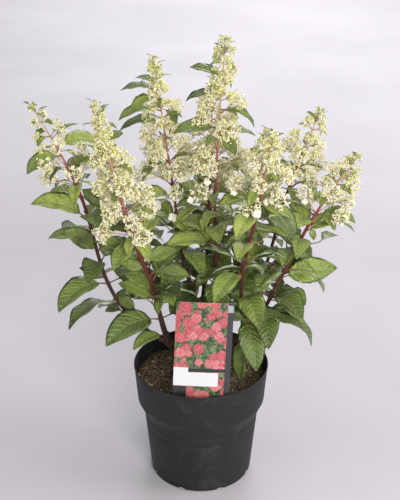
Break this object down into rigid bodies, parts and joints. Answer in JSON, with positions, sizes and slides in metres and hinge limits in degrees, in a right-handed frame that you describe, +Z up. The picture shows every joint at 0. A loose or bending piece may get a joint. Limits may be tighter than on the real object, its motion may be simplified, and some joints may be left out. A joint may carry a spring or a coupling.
{
  "type": "potted panicle hydrangea",
  "caption": "Panicle hydrangea shrub in a nursery pot: old wood, leafy red canes and long cream blossom cones over a round dark pot with a picture label.",
  "frame": {"origin": "centre of the flat underside of the pot, on the surface it stands on", "axes": "+Z up, -Y towards the front of the plant where the label stands, +X to the right seen from the front"},
  "size_m": [0.5311, 0.3582, 0.7728],
  "materials": {
    "pot": "dark charcoal polypropylene, matt, faint moulding lines",
    "soil": "crumbly dark brown potting soil",
    "label": null,
    "old_wood": "dull brown fissured bark",
    "cane": "smooth red-brown young bark with pale lenticels",
    "foliage": "soft satin green leaf with sunken veins and a paler underside",
    "blossom": "cream and pale lime buds with a few open white florets"
  },
  "bodies": {
    "root": {"pot": "pot", "soil": "soil", "label": "label", "trunk": "old_wood", "cane_left": "cane", "cane_front_left": "cane", "cane_middle_left": "cane", "cane_centre": "cane", "cane_front_right": "cane", "cane_middle_right": "cane", "cane_right": "cane", "cane_back": "cane", "cane_back_left": "cane", "cane_back_right": "cane", "leaves_left": "foliage", "leaves_front_left": "foliage", "leaves_middle_left": "foliage", "leaves_centre": "foliage", "leaves_front_right": "foliage", "leaves_middle_right": "foliage", "leaves_right": "foliage", "leaves_back": "foliage", "leaves_back_left": "foliage", "leaves_back_right": "foliage", "panicle_left": "blossom", "panicle_front_left": "blossom", "panicle_middle_left": "blossom", "panicle_centre": "blossom", "panicle_front_right": "blossom", "panicle_middle_right": "blossom", "panicle_right": "blossom", "panicle_back": "blossom", "panicle_back_left": "blossom", "panicle_back_right": "blossom"}
  },
  "joints": []
}
